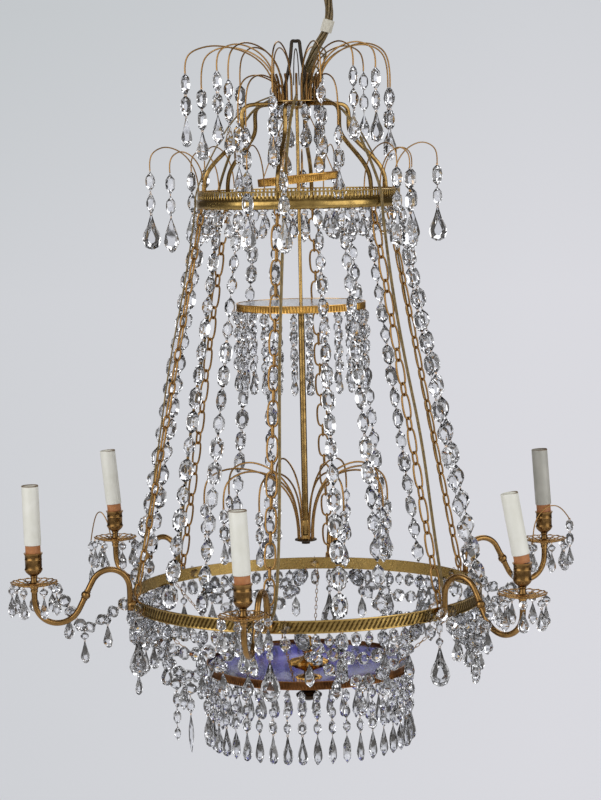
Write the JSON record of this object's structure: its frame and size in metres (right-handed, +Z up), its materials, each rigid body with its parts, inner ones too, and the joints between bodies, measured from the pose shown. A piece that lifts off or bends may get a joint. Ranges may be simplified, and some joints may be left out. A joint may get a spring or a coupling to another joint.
{
  "type": "crystal chandelier",
  "caption": "Hanging chandelier: crown and upper hoop joined by chains to a larger lower hoop with candle arms and a blue glass dish, strung with cut crystals.",
  "frame": {"origin": "inside top of the hanging loop, where it rests on its hook", "axes": "+Z up, front towards -Y, +X to the right of the front view"},
  "size_m": [0.8347, 0.7713, 1.1156],
  "materials": {
    "iron": "dark forged iron, worn",
    "gilt_brass": "old gilt brass, brushed and rubbed",
    "aged_brass": "olive brown aged brass",
    "gilt_strip": "bright fluted gilt strip",
    "copper_rim": "reeded copper brown strip",
    "crystal": "clear cut crystal",
    "grey_glass": "pale grey plate glass",
    "blue_glass": "lilac to cobalt blue glass",
    "ivory_card": "ivory candle sleeve of varnished card",
    "holder": "orange brown lamp holder ring",
    "flex": "dark olive flex",
    "tape": "cream cloth tape",
    "connector": "off-white moulded connector",
    "dark_metal": "dark bronzed turning"
  },
  "bodies": {
    "frame": {"hanging_loop": "iron", "crown_plates": "gilt_brass", "crown_spray_wires": "aged_brass", "crown_strands": "crystal", "crown_ribs": "gilt_brass", "upper_hoop": "aged_brass", "hoop_spray_wires": "aged_brass", "hoop_spray_strands": "crystal", "small_ring": "gilt_strip", "centre_rod": "gilt_brass", "disc_glass": "grey_glass", "disc_rim": "gilt_strip", "lower_spray": "dark_metal", "lower_spray_wires": "aged_brass", "lower_spray_strands": "crystal", "lower_hoop": "aged_brass", "rear_bracket": "aged_brass", "drip_pans": "aged_brass", "candle_cups": "aged_brass", "lamp_holders": "holder", "dish_rim": "copper_rim", "dish_glass": "blue_glass", "dish_ornament": "gilt_strip", "dish_knob": "dark_metal", "dish_hangers": "aged_brass", "supply_cord": "flex", "tape_wrap": "tape", "ceiling_connector": "connector", "lamp_leads": "flex", "pan_hooks": "aged_brass", "hoop_fringe": "crystal", "long_strands": "crystal", "hoop_swags": "crystal", "disc_fringe": "crystal", "dish_fringe": "crystal", "pan_drops": "crystal", "arm_garlands": "crystal", "drop_hooks": "crystal", "chain_1": "aged_brass", "chain_2": "aged_brass", "chain_3": "aged_brass", "chain_4": "aged_brass", "chain_5": "aged_brass", "chain_6": "aged_brass", "arm_1": "aged_brass", "arm_2": "aged_brass", "arm_3": "aged_brass", "arm_4": "aged_brass", "arm_5": "aged_brass"},
    "sleeve_1": {"sleeve_1": "ivory_card"},
    "sleeve_2": {"sleeve_2": "ivory_card"},
    "sleeve_3": {"sleeve_3": "ivory_card"},
    "sleeve_4": {"sleeve_4": "ivory_card"},
    "sleeve_5": {"sleeve_5": "ivory_card"},
    "big_drop_1": {"big_drop_1": "crystal"},
    "big_drop_2": {"big_drop_2": "crystal"},
    "big_drop_3": {"big_drop_3": "crystal"},
    "big_drop_4": {"big_drop_4": "crystal"},
    "big_drop_5": {"big_drop_5": "crystal"},
    "big_drop_6": {"big_drop_6": "crystal"}
  },
  "joints": [
    {"name": "sleeve_1_lift", "type": "slide", "parent": "frame", "child": "sleeve_1", "axis": [-0.0436, 0, 0.999], "range_m": [0, 0.055]},
    {"name": "sleeve_2_lift", "type": "slide", "parent": "frame", "child": "sleeve_2", "axis": [-0.1736, 0, 0.9848], "range_m": [0, 0.055]},
    {"name": "sleeve_3_lift", "type": "slide", "parent": "frame", "child": "sleeve_3", "axis": [-0.0628, 0, 0.998], "range_m": [0, 0.055]},
    {"name": "sleeve_4_lift", "type": "slide", "parent": "frame", "child": "sleeve_4", "axis": [-0.0872, 0, 0.9962], "range_m": [0, 0.055]},
    {"name": "sleeve_5_lift", "type": "slide", "parent": "frame", "child": "sleeve_5", "axis": [-0.0175, 0, 0.9998], "range_m": [0, 0.055]},
    {"name": "drop_1_swing", "type": "hinge", "parent": "frame", "child": "big_drop_1", "pos_m": [-0.05291, -0.24894, -0.84445], "axis": [0.9781, -0.2079, 0], "range_deg": [-15, 15]},
    {"name": "drop_2_swing", "type": "hinge", "parent": "frame", "child": "big_drop_2", "pos_m": [0.18307, -0.17679, -0.84445], "axis": [0.6947, 0.7193, 0], "range_deg": [-15, 15]},
    {"name": "drop_3_swing", "type": "hinge", "parent": "frame", "child": "big_drop_3", "pos_m": [0.23065, 0.10756, -0.84445], "axis": [-0.4226, 0.9063, 0], "range_deg": [-15, 15]},
    {"name": "drop_4_swing", "type": "hinge", "parent": "frame", "child": "big_drop_4", "pos_m": [0.03542, 0.25202, -0.84445], "axis": [-0.9903, 0.1392, 0], "range_deg": [-15, 15]},
    {"name": "drop_5_swing", "type": "hinge", "parent": "frame", "child": "big_drop_5", "pos_m": [-0.18913, 0.17029, -0.84445], "axis": [-0.6691, -0.7431, 0], "range_deg": [-15, 15]},
    {"name": "drop_6_swing", "type": "hinge", "parent": "frame", "child": "big_drop_6", "pos_m": [-0.24338, -0.07441, -0.84445], "axis": [0.2924, -0.9563, 0], "range_deg": [-15, 15]}
  ]
}
